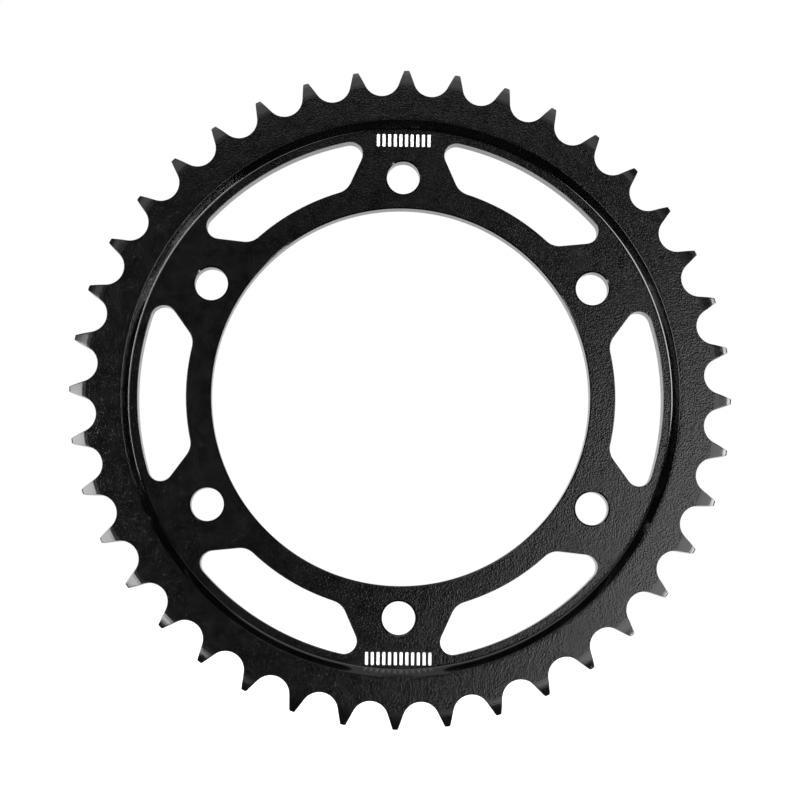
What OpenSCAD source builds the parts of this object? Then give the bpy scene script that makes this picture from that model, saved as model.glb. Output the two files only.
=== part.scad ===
// Rear chain sprocket for a motorcycle: one steel plate with 40 teeth for 530 chain.
// It stands upright and turns about Y. The origin is the middle of the bore, half way
// through the tooth width. The recessed outer side faces -Y and one bolt hole is at the top.

/* [Teeth] */
// pitch of the roller chain
chain_pitch = 15.875; // [15.7:0.005:16.1]
// number of teeth
tooth_count = 40; // [39:1:42]
// diameter of the chain's rollers
roller_d = 10.16; // [9.9:0.01:10.4]
// depth below a seated roller at the bottom of a tooth gap
root_clearance = 0.05; // [0.02:0.01:0.2]
// radius of the round bottom of a tooth gap
seat_r = 5.8; // [5.5:0.05:6]
// lean of a tooth's straight flank from the tooth's centre line
flank_lean = 19; // [18:0.5:21]
// diameter over the tips of the teeth
outer_d = 209.1; // [208.6:0.1:209.6]
// radius of the corners at a tooth's tip
tip_round = 0.4; // [0.2:0.05:0.5]
// width of the teeth from side to side
tooth_w = 8.8; // [8:0.1:9.2]
// diameter at which the sides of the teeth start to curve away
relief_d = 198.2; // [197:0.2:200]
// radius of that curve
relief_r = 9.5; // [9:0.1:12]
// turn of the teeth from the line of the bolt holes
tooth_turn = -0.4; // [-1:0.1:1]

/* [Web] */
// thickness of the thinner web inside the ring of teeth
web_t = 6; // [5:0.1:7]
// diameter of the recess at the face of the toothed ring
recess_d = 176.2; // [174:0.2:178]
// lean of the recess wall from the plane of the face
recess_slope = 52; // [45:1:65]
// radius of the fillet at the foot of the recess wall
recess_fillet = 0.8; // [0.4:0.1:1.2]
// diameter of the bore that fits over the hub
bore_d = 120; // [118:0.1:124]
// chamfer on the edges of the bore
bore_chamfer = 0.4; // [0.2:0.1:0.8]

/* [Bolt holes] */
// number of bolt holes, with a slot between each two
bolt_count = 6; // [6:1:6]
// diameter of the circle through the bolt holes
bolt_circle_d = 140; // [138:0.5:142]
// diameter of a bolt hole
bolt_hole_d = 10.5; // [8:0.1:12.5]
// chamfer on the edges of a bolt hole
hole_chamfer = 0.5; // [0.1:0.1:0.6]

/* [Slots] */
// radius of a slot's outer side
slot_outer_r = 83.2; // [82:0.1:84]
// radius of a slot's inner side
slot_inner_r = 68; // [67:0.1:70]
// distance from a bolt hole's centre to the straight end of the slot beside it
slot_land = 14.6; // [13.5:0.1:16]
// lean of that end from the radius through the bolt hole
slot_lean = 24; // [20:1:28]
// radius of a slot's outer corners
slot_outer_round = 4; // [3:0.1:4.5]
// radius of a slot's inner corners
slot_inner_round = 6; // [4:0.1:6.5]

/* [Hidden] */
$fn = 96;

steel_black = [0.12, 0.12, 0.13];

pitch_r = chain_pitch / (2 * sin(180 / tooth_count));
root_r = pitch_r - roller_d / 2 - root_clearance;
outer_r = outer_d / 2;
relief_start_r = relief_d / 2;
face_z = tooth_w / 2;
floor_z = web_t - face_z;
recess_h = tooth_w - web_t;
recess_r = recess_d / 2;
recess_floor_r = recess_r - recess_h / tan(recess_slope);
bore_r = bore_d / 2;
bolt_circle_r = bolt_circle_d / 2;
bolt_hole_r = bolt_hole_d / 2;

// cutters pass the faces by this much
over = 1;
// a slot's round corners stand this little proud of its edges, so that they cross cleanly
hair = 0.01;

// centre of the round gap bottom beside a tooth that points along +Y
seat_centre = (root_r + seat_r) * [sin(180 / tooth_count), cos(180 / tooth_count)];
// where the straight flank touches that round bottom
flank_foot = seat_centre - seat_r * [cos(flank_lean), sin(flank_lean)];
// centre of the small round at the tooth's tip
tip_y = outer_r - tip_round;
tip_x = flank_foot.x - (tip_y - flank_foot.y) * tan(flank_lean) - tip_round / cos(flank_lean);
// the root of a tooth is drawn wider than its foot, and the round gaps trim it
root_margin = 1;

// angle from one tooth to the next
tooth_step = 360 / tooth_count;

// slots lie between the holes, so a slot's own centre line is half a step from a hole's
half_step = 180 / bolt_count;
// direction square to a slot's straight end, measured from the slot's centre line
end_normal = 90 - slot_lean - half_step;
// distance from the axis to the line of that end
end_offset = bolt_circle_r * cos(end_normal + half_step) + slot_land;

function polar(r, a) = r * [cos(a), sin(a)];
function mirrored(points) = [for (p = points) [p.x, -p.y]];
function reversed(points) = [for (i = [len(points) - 1 : -1 : 0]) points[i]];
// a corner circle of this radius touches the straight end when its centre is at this angle
function corner_angle(centre_r, round) = acos((end_offset + round) / centre_r) - end_normal;

// a tooth along +Y: a straight-sided blade with two small rounds at its tip
module tooth_2d() {
    side = [
        flank_foot + root_margin * [1, -1],
        flank_foot,
        [tip_x, tip_y] + tip_round * [cos(flank_lean), sin(flank_lean)],
        [tip_x, outer_r],
    ];
    polygon(concat(side, reversed([for (p = side) [-p.x, p.y]])));
    for (x = [-tip_x, tip_x]) translate([x, tip_y]) circle(r = tip_round, $fn = 24);
}

// the outline of the whole toothed disc, with the middle of a gap on the X axis
module toothed_outline() {
    difference() {
        union() {
            circle(r = norm(flank_foot) - root_margin / 2, $fn = 4 * tooth_count);
            for (i = [0 : tooth_count - 1]) rotate((i + 0.5) * tooth_step - 90) tooth_2d();
        }
        for (i = [0 : tooth_count - 1]) rotate(i * tooth_step)
            translate([root_r + seat_r, 0]) circle(r = seat_r, $fn = 48);
    }
}

// half of a section through the solid blank: flat sides that curve away over the teeth
module blank_section() {
    translate([0, -face_z]) square([relief_start_r, tooth_w]);
    intersection_for (side = [-1, 1])
        translate([relief_start_r, side * (face_z - relief_r)]) circle(r = relief_r, $fn = 120);
}

// half of a section through the shallow recess, with a fillet at the foot of its wall
module recess_section() {
    fillet_x = recess_floor_r - recess_fillet * tan(recess_slope / 2);
    fillet_y = floor_z + recess_fillet;
    foot = [fillet_x, fillet_y] + recess_fillet * [sin(recess_slope), -cos(recess_slope)];
    wall_top = foot.x + (face_z + over - foot.y) / tan(recess_slope);
    polygon([
        [0, floor_z],
        [fillet_x, floor_z],
        foot,
        [wall_top, face_z + over],
        [0, face_z + over],
    ]);
    translate([fillet_x, fillet_y]) circle(r = recess_fillet, $fn = 48);
}

// half of a section through the bore, with a chamfer at each of its edges
module bore_section() {
    flare = bore_chamfer + over;
    polygon([
        [0, -face_z - over],
        [bore_r + flare, -face_z - over],
        [bore_r, -face_z + bore_chamfer],
        [bore_r, floor_z - bore_chamfer],
        [bore_r + flare, floor_z + over],
        [0, floor_z + over],
    ]);
}

// half of a section through the turned plate
module plate_section() {
    difference() {
        blank_section();
        recess_section();
        bore_section();
    }
}

// a slot centred on +X: a piece of a ring with slanted ends and round corners
module slot_2d() {
    outer_centre_r = slot_outer_r - slot_outer_round;
    inner_centre_r = slot_inner_r + slot_inner_round;
    outer_a = corner_angle(outer_centre_r, slot_outer_round);
    inner_a = corner_angle(inner_centre_r, slot_inner_round);
    outer_centre = polar(outer_centre_r, outer_a);
    inner_centre = polar(inner_centre_r, inner_a);
    to_middle = polar(1, -end_normal);
    side = [
        polar((slot_outer_r + over) / cos(outer_a), outer_a),
        outer_centre,
        outer_centre - (slot_outer_round - hair) * to_middle,
        inner_centre - (slot_inner_round - hair) * to_middle,
        inner_centre,
        polar(slot_inner_r - over, inner_a),
    ];
    intersection() {
        difference() {
            circle(r = slot_outer_r - hair, $fn = 240);
            circle(r = slot_inner_r + hair, $fn = 240);
        }
        polygon(concat(side, reversed(mirrored(side))));
    }
    for (side_y = [-1, 1]) {
        translate([outer_centre.x, side_y * outer_centre.y]) circle(r = slot_outer_round);
        translate([inner_centre.x, side_y * inner_centre.y]) circle(r = slot_inner_round);
    }
}

// the turned plate with its teeth cut, before any hole is made in the web
module toothed_plate() {
    intersection() {
        translate([0, 0, -face_z - over])
            linear_extrude(height = tooth_w + 2 * over) toothed_outline();
        rotate_extrude($fn = 240) plate_section();
    }
}

// a bolt hole along Z through the web, with a chamfer at each face
module bolt_hole() {
    flare = hole_chamfer + over;
    translate([0, 0, -face_z - over]) cylinder(r = bolt_hole_r, h = web_t + 2 * over);
    translate([0, 0, floor_z - hole_chamfer])
        cylinder(r1 = bolt_hole_r, r2 = bolt_hole_r + flare, h = flare);
    translate([0, 0, -face_z - over])
        cylinder(r1 = bolt_hole_r + flare, r2 = bolt_hole_r, h = flare);
}

// the whole sprocket, drawn flat and then stood upright
module sprocket() {
    color(steel_black) rotate([90, 0, 0]) difference() {
        rotate(90 + tooth_turn - tooth_step / 2) toothed_plate();
        for (i = [0 : bolt_count - 1]) rotate(90 + 2 * i * half_step) {
            translate([bolt_circle_r, 0, 0]) bolt_hole($fn = 48);
            rotate(half_step) translate([0, 0, -face_z - over])
                linear_extrude(height = tooth_w + 2 * over) slot_2d();
        }
    }
}

sprocket();
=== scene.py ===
import math

import bmesh
import bpy
from mathutils import Matrix, Vector
from mathutils.geometry import tessellate_polygon


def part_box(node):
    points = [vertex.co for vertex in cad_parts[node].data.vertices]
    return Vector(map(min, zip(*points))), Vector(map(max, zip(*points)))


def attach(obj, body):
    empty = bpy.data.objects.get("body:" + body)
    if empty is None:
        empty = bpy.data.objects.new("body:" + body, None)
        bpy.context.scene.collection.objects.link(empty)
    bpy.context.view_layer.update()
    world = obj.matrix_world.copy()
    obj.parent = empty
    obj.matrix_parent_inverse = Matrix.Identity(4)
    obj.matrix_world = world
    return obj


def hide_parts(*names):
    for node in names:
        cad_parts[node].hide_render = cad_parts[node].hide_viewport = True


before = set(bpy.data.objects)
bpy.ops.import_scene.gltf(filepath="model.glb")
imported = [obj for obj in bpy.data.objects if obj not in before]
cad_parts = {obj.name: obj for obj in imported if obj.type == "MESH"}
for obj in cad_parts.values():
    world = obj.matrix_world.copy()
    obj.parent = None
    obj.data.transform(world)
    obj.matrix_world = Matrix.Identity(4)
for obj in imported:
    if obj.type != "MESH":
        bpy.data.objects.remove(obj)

# The sprocket is drawn flat in millimetres, with its recessed face up (+Z) and one bolt
# hole on +Y, and is then stood upright in the frame, in metres, with that face towards -Y.
UPRIGHT = Matrix.Rotation(math.radians(90), 4, "X") @ Matrix.Scale(0.001, 4)

# ---------------------------------------------------------------- sizes, in millimetres

CAD_LOW, CAD_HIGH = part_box("sprocket")
FACE_Z = (CAD_HIGH.y - CAD_LOW.y) / 2 * 1000
OUTER_R = CAD_HIGH.z * 1000
TEETH = 40
TOOTH_STEP = 360 / TEETH
TOOTH_TURN = -0.4       # the teeth sit this far round from the line of the bolt holes
ROOT_R = 96.038
SEAT_R = 5.8
FLANK_LEAN = 19
TIP_ROUND = 0.4
RELIEF_START_R = 99.1
RELIEF_R = 9.5

RIM_INNER_R = 89.2      # the flat rim is meshed from here out to the teeth
RECESS_R = 88.1
RECESS_DEPTH = 2.8
RECESS_SLOPE = 52
RECESS_FILLET = 0.8
RECESS_LIP_ROUND = 0.12
WEB_OUTER_R = 84.6
FLOOR_Z = FACE_Z - RECESS_DEPTH

BORE_R = 60
BOLT_CIRCLE_R = 70
BOLT_HOLE_R = 5.25
BOLTS = 6
HALF_STEP = 180 / BOLTS
SLOT_OUTER_R = 83.2
SLOT_INNER_R = 68
SLOT_LAND = 14.6
SLOT_LEAN = 24
SLOT_OUTER_ROUND = 4
SLOT_INNER_ROUND = 6

TOOTH_EDGE = 0.1        # how far the edges of the teeth and the slots are rounded off
SLOT_EDGE = 0.2
BOLT_CHAMFER = 0.5
BORE_CHAMFER = 0.4
EDGE_SEGMENTS = 4       # strips in a rounded edge

# rows of faces from the teeth in, over the relief and then over the flat of the rim
RELIEF_ROWS = 12
FLAT_ROWS = 4
SHORTEST_RELIEF = 0.04  # share of the way in that the relief rows always cover, even in a gap

COAT, RELIEF, WALL = 0, 1, 2     # material slots of the sprocket's mesh


# ---------------------------------------------------------------- outlines

def polar(r, degrees):
    a = math.radians(degrees)
    return Vector((r * math.cos(a), r * math.sin(a)))


def arc(centre, r, start, end, segments):
    """Points along an arc, both of its ends included."""
    return [centre + polar(r, start + (end - start) * i / segments) for i in range(segments + 1)]


def turned(points, degrees):
    return [Matrix.Rotation(math.radians(degrees), 2) @ p for p in points]


def circle(r, segments, centre=Vector((0, 0))):
    return arc(centre, r, 0, 360, segments)[:-1]


def tooth(inset):
    """One tooth along +Y, from gap bottom to gap bottom, moved into the metal by inset."""
    half = TOOTH_STEP / 2
    seat = polar(ROOT_R + SEAT_R, 90 - half)
    foot = seat - polar(SEAT_R, FLANK_LEAN)
    tip_y = OUTER_R - TIP_ROUND
    lean = math.radians(FLANK_LEAN)
    tip_x = foot.x - (tip_y - foot.y) * math.tan(lean) - TIP_ROUND / math.cos(lean)
    bottom = arc(seat, SEAT_R + inset, 270 - half, 180 + FLANK_LEAN, 10)
    tip = arc(Vector((tip_x, tip_y)), TIP_ROUND - inset, FLANK_LEAN, 90, 4)
    flank = [bottom[-1].lerp(tip[0], i / 4) for i in range(1, 4)]
    side = bottom + flank + tip
    middle = [Vector((0, tip[-1].y))]
    return side + middle + [Vector((-p.x, p.y)) for p in reversed(side[1:])]


def teeth(inset):
    points = []
    for i in range(TEETH):
        points += turned(tooth(inset), TOOTH_TURN + i * TOOTH_STEP)
    return points


def slot(number, inset):
    """A slot between two bolt holes: a piece of a ring with slanted ends and round corners."""
    normal = 90 - SLOT_LEAN - HALF_STEP
    offset = BOLT_CIRCLE_R * math.cos(math.radians(normal + HALF_STEP)) + SLOT_LAND
    corners = []
    for radius, corner_round in ((SLOT_OUTER_R - SLOT_OUTER_ROUND, SLOT_OUTER_ROUND),
                                 (SLOT_INNER_R + SLOT_INNER_ROUND, SLOT_INNER_ROUND)):
        angle = math.degrees(math.acos((offset + corner_round) / radius)) - normal
        corners.append((polar(radius, angle), corner_round + inset, angle))
    (outer, outer_round, outer_a), (inner, inner_round, inner_a) = corners
    side = arc(outer, outer_round, outer_a, 180 - normal, 10)
    side += arc(inner, inner_round, 180 - normal, 180 + inner_a, 8)
    inner_edge = arc(Vector((0, 0)), SLOT_INNER_R - inset, inner_a, -inner_a, 16)[1:-1]
    outer_edge = arc(Vector((0, 0)), SLOT_OUTER_R + inset, -outer_a, outer_a, 24)[1:-1]
    other_side = [Vector((p.x, -p.y)) for p in reversed(side)]
    loop = side + inner_edge + other_side + outer_edge
    return turned(loop, 90 + (2 * number + 1) * HALF_STEP)


def bolt_hole(number, inset):
    centre = polar(BOLT_CIRCLE_R, 90 + 2 * number * HALF_STEP)
    return circle(BOLT_HOLE_R + inset, 48, centre)


def face_height(point):
    """Height of the rim's face over a point: flat, then curving away over the teeth."""
    past = max(0.0, point.length - RELIEF_START_R)
    return FACE_Z - RELIEF_R + math.sqrt(RELIEF_R ** 2 - past ** 2)


def rounded_corner(before, corner, after, r, segments):
    """An arc of radius r in place of the corner of a line through three points."""
    back, on = (before - corner).normalized(), (after - corner).normalized()
    half_angle = back.angle(on) / 2
    centre = corner + (back + on).normalized() * (r / math.sin(half_angle))
    start = corner + back * (r / math.tan(half_angle)) - centre
    end = corner + on * (r / math.tan(half_angle)) - centre
    sweep = start.angle_signed(end)
    return [centre + Matrix.Rotation(-sweep * i / segments, 2) @ start for i in range(segments + 1)]


# ---------------------------------------------------------------- mesh of the sprocket

def add_loop(bm, points, heights):
    return [bm.verts.new((p.x, p.y, z)) for p, z in zip(points, heights)]


def bridge(bm, a, b, material=COAT):
    """A strip of quads between two closed loops of the same number of points."""
    for i in range(len(a)):
        j = (i + 1) % len(a)
        bm.faces.new((a[i], a[j], b[j], b[i])).material_index = material


def sharpen(bm, loop):
    """Keeps the edges of a closed loop crisp."""
    for a, b in zip(loop, loop[1:] + loop[:1]):
        bm.edges.get((a, b)).smooth = False


def rounded_edge(width):
    """(inset, drop) pairs over a rounded edge, from the face to the wall."""
    angles = [math.pi / 2 * i / EDGE_SEGMENTS for i in range(EDGE_SEGMENTS + 1)]
    return [(width * (1 - math.sin(a)), width * (1 - math.cos(a))) for a in angles]


def chamfered_edge(width):
    """(inset, drop) pairs over a chamfered edge, from the face to the wall."""
    return [(width, 0), (0, width)]


def add_wall(bm, outline, edge, top, bottom):
    """A wall between two faces, with the same edge at both; returns its loop in each face.
    outline(inset) gives the points, and top and bottom give a face's height over a point.
    A chamfer is a single strip: it stays crisp, and the coat lies smooth on it, in the step's
    darker grey, which is painted shade."""
    loops = []
    for inset, drop in edge:
        points = outline(inset)
        loops.append(add_loop(bm, points, [top(p) - drop for p in points]))
    for inset, drop in reversed(edge):
        points = outline(inset)
        loops.append(add_loop(bm, points, [bottom(p) + drop for p in points]))
    chamfered = len(edge) == 2
    for a, b in zip(loops, loops[1:]):
        on_chamfer = chamfered and (a is loops[0] or b is loops[-1])
        bridge(bm, a, b, WALL if on_chamfer else COAT)
    if chamfered:
        for loop in loops:
            sharpen(bm, loop)
    return loops[0], loops[-1]


def relief_share(outer, inner):
    """How far along the line from outer in to inner the relief over the teeth ends."""
    run = inner - outer
    along = outer.dot(run)
    gap = outer.length_squared - RELIEF_START_R ** 2
    if gap <= 0:
        return 0.0
    return (-along - math.sqrt(along ** 2 - run.length_squared * gap)) / run.length_squared


def add_rim(bm, edge, side):
    """The face of the toothed rim, from the loop at the teeth in to a plain circle."""
    outline = [Vector(v.co.xy) for v in edge]
    first = math.degrees(math.atan2(outline[0].y, outline[0].x))
    inner = turned(circle(RIM_INNER_R, len(outline)), first)
    ends = [max(relief_share(p, q), SHORTEST_RELIEF) for p, q in zip(outline, inner)]
    previous = edge
    for row in range(1, RELIEF_ROWS + FLAT_ROWS + 1):
        in_relief = row <= RELIEF_ROWS
        points = []
        for p, q, end in zip(outline, inner, ends):
            if in_relief:
                share = end * row / RELIEF_ROWS
            else:
                share = end + (1 - end) * (row - RELIEF_ROWS) / FLAT_ROWS
            points.append(p.lerp(q, share))
        loop = add_loop(bm, points, [side * face_height(p) for p in points])
        bridge(bm, previous, loop)
        if in_relief:
            turn_relief(previous, loop)
        previous = loop
    return previous


def turn_relief(outer, inner):
    """Marks the faces between two loops as turned where they lie over a tooth's relief."""
    kept = set(inner)
    tolerance = 0.01
    for vert in outer:
        if vert.co.xy.length > RELIEF_START_R + tolerance:
            for face in vert.link_faces:
                if kept.intersection(face.verts):
                    face.material_index = RELIEF


def recess_profile():
    """(radius, height) points down from the rim over the recess's lip, wall and fillet."""
    lip = Vector((RECESS_R, FACE_Z))
    run = RECESS_DEPTH / math.tan(math.radians(RECESS_SLOPE))
    foot = Vector((RECESS_R - run, FLOOR_Z))
    rim, web = Vector((RIM_INNER_R, FACE_Z)), Vector((WEB_OUTER_R, FLOOR_Z))
    lip_arc = rounded_corner(rim, lip, foot, RECESS_LIP_ROUND, 4)
    foot_arc = rounded_corner(lip, foot, web, RECESS_FILLET, 8)
    return lip_arc, foot_arc, web


def add_recess(bm, rim_loop):
    """The turned step from the rim down to the web; returns its last loop."""
    directions = [Vector(v.co.xy).normalized() for v in rim_loop]
    lip_arc, foot_arc, web = recess_profile()
    previous = rim_loop
    for number, (radius, height) in enumerate(lip_arc + foot_arc + [web]):
        loop = add_loop(bm, [d * radius for d in directions], [height] * len(directions))
        on_wall = 1 <= number < len(lip_arc) + len(foot_arc)
        bridge(bm, previous, loop, WALL if on_wall else COAT)
        previous = loop
    return previous


def add_flat_face(bm, outer, holes):
    """A flat face between an outer loop and the loops of its holes."""
    loops = [outer] + holes
    verts = [v for loop in loops for v in loop]
    for corners in tessellate_polygon([[v.co for v in loop] for loop in loops]):
        bm.faces.new([verts[i] for i in corners])


def build_sprocket():
    bm = bmesh.new()
    front = lambda p: FLOOR_Z
    back = lambda p: -FACE_Z
    bore = add_wall(bm, lambda inset: circle(BORE_R + inset, 240),
                    chamfered_edge(BORE_CHAMFER), front, back)
    walls = [bore]
    for i in range(BOLTS):
        walls.append(add_wall(bm, lambda inset: bolt_hole(i, inset),
                              chamfered_edge(BOLT_CHAMFER), front, back))
        walls.append(add_wall(bm, lambda inset: slot(i, inset),
                              rounded_edge(SLOT_EDGE), front, back))
    tooth_front, tooth_back = add_wall(
        bm, teeth, rounded_edge(TOOTH_EDGE), face_height, lambda p: -face_height(p))
    rim_front = add_rim(bm, tooth_front, 1)
    rim_back = add_rim(bm, tooth_back, -1)
    web_edge = add_recess(bm, rim_front)
    add_flat_face(bm, web_edge, [wall[0] for wall in walls])
    add_flat_face(bm, rim_back, [wall[1] for wall in walls])
    bmesh.ops.recalc_face_normals(bm, faces=bm.faces)
    return finish_mesh(bm, "sprocket_plate")


def finish_mesh(bm, name):
    """Stands a flat mesh upright and makes it an object with smooth, area-weighted normals."""
    bm.transform(UPRIGHT)
    for face in bm.faces:
        face.smooth = True
    mesh = bpy.data.meshes.new(name)
    bm.to_mesh(mesh)
    bm.free()
    obj = bpy.data.objects.new(name, mesh)
    bpy.context.scene.collection.objects.link(obj)
    weighted = obj.modifiers.new("weighted_normals", "WEIGHTED_NORMAL")
    weighted.weight = 100
    weighted.keep_sharp = True
    return obj


# ---------------------------------------------------------------- marks

MARK_HEIGHT = 4.0
MARK_BAR = 0.95         # width of a bar
MARK_PITCH = 1.8        # from one bar to the next
MARK_THICKNESS = 0.03
UPPER_MARK_R = 82.0
LOWER_MARK_R = -82.6


def add_bar(bm, x, y, width, height):
    """A thin upright bar of ink with round corners, lying on the web."""
    r = min(width, height) * 0.3
    corners = []
    for turn, (sx, sy) in enumerate(((1, 1), (-1, 1), (-1, -1), (1, -1))):
        centre = Vector((x + sx * (width / 2 - r), y + sy * (height / 2 - r)))
        corners += arc(centre, r, 90 * turn, 90 * turn + 90, 3)
    low = add_loop(bm, corners, [FLOOR_Z] * len(corners))
    high = add_loop(bm, corners, [FLOOR_Z + MARK_THICKNESS] * len(corners))
    bridge(bm, low, high)
    bm.faces.new(high)
    bm.faces.new(list(reversed(low)))


def build_mark(name, y, bars):
    """A plain row of bars, where the real plate has a printed code."""
    bm = bmesh.new()
    for number in range(bars):
        x = (number - (bars - 1) / 2) * MARK_PITCH
        add_bar(bm, x, y, MARK_BAR, MARK_HEIGHT)
    bmesh.ops.recalc_face_normals(bm, faces=bm.faces)
    return finish_mesh(bm, name)


# ---------------------------------------------------------------- materials

def new_material(name):
    material = bpy.data.materials.new(name)
    material.use_nodes = True
    nodes = material.node_tree.nodes
    return material, nodes, material.node_tree.links, nodes["Principled BSDF"]


def noise(nodes, links, vector, scale, detail=2.0, roughness=0.5):
    texture = nodes.new("ShaderNodeTexNoise")
    texture.inputs["Scale"].default_value = scale
    texture.inputs["Detail"].default_value = detail
    texture.inputs["Roughness"].default_value = roughness
    links.new(vector, texture.inputs["Vector"])
    return texture.outputs["Fac"]


def remap(nodes, links, value, low, high, from_low=0.3, from_high=0.7):
    node = nodes.new("ShaderNodeMapRange")
    node.inputs["From Min"].default_value = from_low
    node.inputs["From Max"].default_value = from_high
    node.inputs["To Min"].default_value = low
    node.inputs["To Max"].default_value = high
    links.new(value, node.inputs["Value"])
    return node.outputs["Result"]


def bump(nodes, links, height, depth, after=None):
    """depth is the height of the bumps in metres."""
    node = nodes.new("ShaderNodeBump")
    node.inputs["Strength"].default_value = 1.0
    node.inputs["Distance"].default_value = depth
    links.new(height, node.inputs["Height"])
    if after is not None:
        links.new(after, node.inputs["Normal"])
    return node.outputs["Normal"]


def grey_ramp(nodes, links, value, dark, light):
    ramp = nodes.new("ShaderNodeValToRGB")
    ramp.color_ramp.elements[0].position = 0.3
    ramp.color_ramp.elements[0].color = (dark, dark, dark * 1.05, 1)
    ramp.color_ramp.elements[1].position = 0.7
    ramp.color_ramp.elements[1].color = (light, light, light * 1.05, 1)
    links.new(value, ramp.inputs["Fac"])
    return ramp.outputs["Color"]


def coat_material():
    """Satin black coat with an orange peel grain about half a millimetre across."""
    material, nodes, links, shader = new_material("black_coat")
    place = nodes.new("ShaderNodeTexCoord").outputs["Object"]
    grain = noise(nodes, links, place, 2000, detail=1.0)
    waves = noise(nodes, links, place, 420, detail=1.0)
    dust = noise(nodes, links, place, 260, detail=4.0)
    normal = bump(nodes, links, waves, 0.00003)
    links.new(bump(nodes, links, grain, 0.000075, normal), shader.inputs["Normal"])
    specks = noise(nodes, links, place, 2600, detail=2.0)
    pale = remap(nodes, links, specks, 0.0, 1.0, 0.68, 0.76)
    tint = nodes.new("ShaderNodeMix")
    tint.data_type = "RGBA"
    tint.inputs["B"].default_value = (0.03, 0.03, 0.03, 1)
    links.new(pale, tint.inputs["Factor"])
    links.new(grey_ramp(nodes, links, dust, 0.0020, 0.0040), tint.inputs["A"])
    links.new(tint.outputs["Result"], shader.inputs["Base Color"])
    links.new(remap(nodes, links, dust, 0.13, 0.18), shader.inputs["Roughness"])
    return material


def turned_material(name, tint, smoothest, roughest, ring_depth):
    """The same coat where it lies smoother on turned surfaces, with fine rings under it.
    tint is its grey, and ring_depth the height of the rings in metres. A tint darker than the
    coat's own grey is painted shade."""
    material, nodes, links, shader = new_material(name)
    place = nodes.new("ShaderNodeTexCoord").outputs["Object"]
    flat = nodes.new("ShaderNodeVectorMath")
    flat.operation = "MULTIPLY"
    flat.inputs[1].default_value = (1, 0, 1)
    links.new(place, flat.inputs[0])
    radius = nodes.new("ShaderNodeVectorMath")
    radius.operation = "LENGTH"
    links.new(flat.outputs["Vector"], radius.inputs[0])
    rings = nodes.new("ShaderNodeTexNoise")
    rings.noise_dimensions = "1D"
    rings.inputs["Scale"].default_value = 1600
    links.new(radius.outputs["Value"], rings.inputs["W"])
    grain = noise(nodes, links, place, 900, detail=1.0)
    blotches = noise(nodes, links, place, 180, detail=3.0)
    normal = bump(nodes, links, rings.outputs["Fac"], ring_depth)
    links.new(bump(nodes, links, grain, 0.000008, normal), shader.inputs["Normal"])
    links.new(grey_ramp(nodes, links, blotches, tint / 2, tint), shader.inputs["Base Color"])
    links.new(remap(nodes, links, blotches, smoothest, roughest), shader.inputs["Roughness"])
    return material


def ink_material():
    """White ink, slightly uneven where it lies over the grain."""
    material, nodes, links, shader = new_material("white_ink")
    place = nodes.new("ShaderNodeTexCoord").outputs["Object"]
    wear = noise(nodes, links, place, 1500, detail=2.0)
    links.new(grey_ramp(nodes, links, wear, 0.62, 0.9), shader.inputs["Base Color"])
    links.new(bump(nodes, links, wear, 0.00002), shader.inputs["Normal"])
    shader.inputs["Roughness"].default_value = 0.6
    return material


def floor_material():
    """Seamless pale paper that is bright enough to read as white."""
    material, nodes, links, shader = new_material("pale_paper")
    shader.inputs["Base Color"].default_value = (0.9, 0.9, 0.9, 1)
    shader.inputs["Roughness"].default_value = 0.9
    shader.inputs["Emission Color"].default_value = (1, 1, 1, 1)
    shader.inputs["Emission Strength"].default_value = 0.85
    return material


# ---------------------------------------------------------------- stage, light, camera

PANEL_DISTANCE = 1.2    # metres from the sprocket to each light panel
FLOOR_GAP = 0.0005      # metres between the lowest tooth and the floor


def build_floor():
    """A wide pale floor under the lowest tooth."""
    bm = bmesh.new()
    bmesh.ops.create_grid(bm, x_segments=8, y_segments=8, size=12)
    mesh = bpy.data.meshes.new("floor")
    bm.to_mesh(mesh)
    bm.free()
    floor = bpy.data.objects.new("floor", mesh)
    floor.location.z = CAD_LOW.z - FLOOR_GAP
    mesh.materials.append(floor_material())
    bpy.context.scene.collection.objects.link(floor)
    floor.visible_glossy = False


def build_world():
    """White behind the sprocket and all round for the camera, dim in front of the sprocket."""
    world = bpy.data.worlds.new("studio")
    bpy.context.scene.world = world
    world.use_nodes = True
    nodes, links = world.node_tree.nodes, world.node_tree.links
    place = nodes.new("ShaderNodeTexCoord").outputs["Generated"]
    split = nodes.new("ShaderNodeSeparateXYZ")
    links.new(place, split.inputs["Vector"])
    behind = remap(nodes, links, split.outputs["Y"], 0.003, 1.0, 0.4, 0.75)
    seen = nodes.new("ShaderNodeLightPath").outputs["Is Camera Ray"]
    strength = nodes.new("ShaderNodeMath")
    strength.operation = "MAXIMUM"
    links.new(seen, strength.inputs[0])
    links.new(behind, strength.inputs[1])
    links.new(strength.outputs["Value"], nodes["Background"].inputs["Strength"])
    nodes["Background"].inputs["Color"].default_value = (1, 1, 1, 1)


def add_softbox(name, right, up, half_width, half_height, radiance, lean=0):
    """A soft panel round the front of the sprocket. Its place and its half sizes are angles,
    in degrees, as they look from the sprocket; right and up are measured from its axis,
    and lean turns the panel about its own middle."""
    a, e = math.radians(right), math.radians(up)
    towards = Vector((math.sin(a) * math.cos(e), -math.cos(a) * math.cos(e), math.sin(e)))
    light = bpy.data.lights.new(name, "AREA")
    light.shape = "RECTANGLE"
    light.size = 2 * PANEL_DISTANCE * math.tan(math.radians(half_width))
    light.size_y = 2 * PANEL_DISTANCE * math.tan(math.radians(half_height))
    light.energy = radiance * math.pi * light.size * light.size_y
    panel = bpy.data.objects.new(name, light)
    panel.location = towards * PANEL_DISTANCE
    facing = towards.to_track_quat("Z", "Y").to_matrix()
    panel.rotation_euler = (facing @ Matrix.Rotation(math.radians(lean), 3, "Z")).to_euler()
    panel.visible_camera = False
    bpy.context.scene.collection.objects.link(panel)


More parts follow.
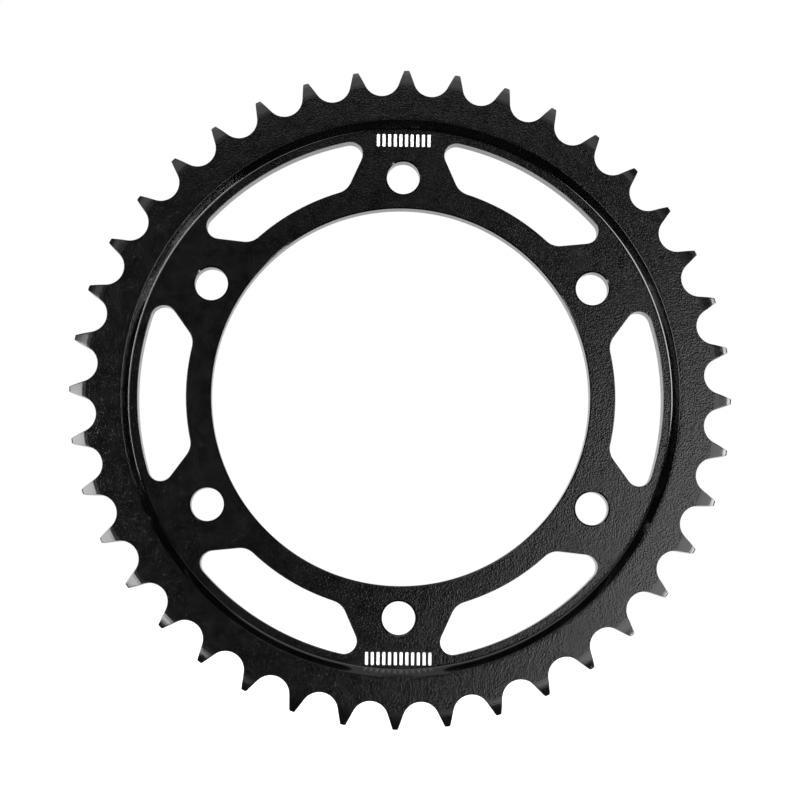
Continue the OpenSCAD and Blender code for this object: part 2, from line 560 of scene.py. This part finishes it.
def build_lights():
    """Each panel is what one part of the coat mirrors: the right of the faces, the sides of the
    left teeth, the upper faces, the upward edges, and the fillet at the foot of the step."""
    add_softbox("right_panel", 36, -13, 27, 18, 3.4, lean=-8)
    add_softbox("left_panel", -51, -10, 26, 20, 12.5)
    add_softbox("top_panel", -10, 46, 38, 22, 1.2)
    add_softbox("overhead_panel", -10, 84, 35, 18, 1.8)
    add_softbox("side_panel", 70, -12, 5, 34, 24.0)


def build_camera():
    """A long lens, a little low and to the left of the sprocket's axis. Its place and its two
    directions are given in the flat millimetres that the sprocket is drawn in."""
    data = bpy.data.cameras.new("camera")
    data.sensor_width = 36
    data.lens = 90.54
    data.clip_start, data.clip_end = 0.01, 100
    camera = bpy.data.objects.new("camera", data)
    roll = Matrix.Rotation(math.radians(0.66), 3, "Z")
    at = roll @ Vector((-12.73, -58.77, 630.86 + FACE_Z))
    aim = roll @ Vector((0.0195, 0.0902, -0.9958))
    up = roll @ Vector((-0.0009, 0.9959, 0.0899))
    upright = UPRIGHT.to_3x3()
    camera.location = upright @ at
    back = -(upright @ aim).normalized()
    side = (upright @ up).cross(back).normalized()
    camera.rotation_euler = Matrix((side, back.cross(side), back)).transposed().to_euler()
    bpy.context.scene.collection.objects.link(camera)
    bpy.context.scene.camera = camera


# ---------------------------------------------------------------- scene

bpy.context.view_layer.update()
build_camera()
build_world()
build_lights()
build_floor()

plate = build_sprocket()
plate.data.materials.append(coat_material())
plate.data.materials.append(turned_material(
    "coat_over_teeth", tint=0.004, smoothest=0.18, roughest=0.25, ring_depth=0.00003))
# The step wall and the hole chamfers take a coat a third as grey as the face coat. That darker grey
# is painted shade for the black they show from mirroring dark surroundings, and their lower
# roughness is the smoother turned finish.
plate.data.materials.append(turned_material(
    "coat_in_step_painted_shade", tint=0.0012, smoothest=0.09, roughest=0.13, ring_depth=0.000004))
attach(plate, "root")
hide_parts("sprocket")

ink = ink_material()
for mark in (build_mark("mark_upper", UPPER_MARK_R, bars=10),
             build_mark("mark_lower", LOWER_MARK_R, bars=12)):
    mark.data.materials.append(ink)
    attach(mark, "root")

bpy.context.scene.view_settings.view_transform = "Standard"
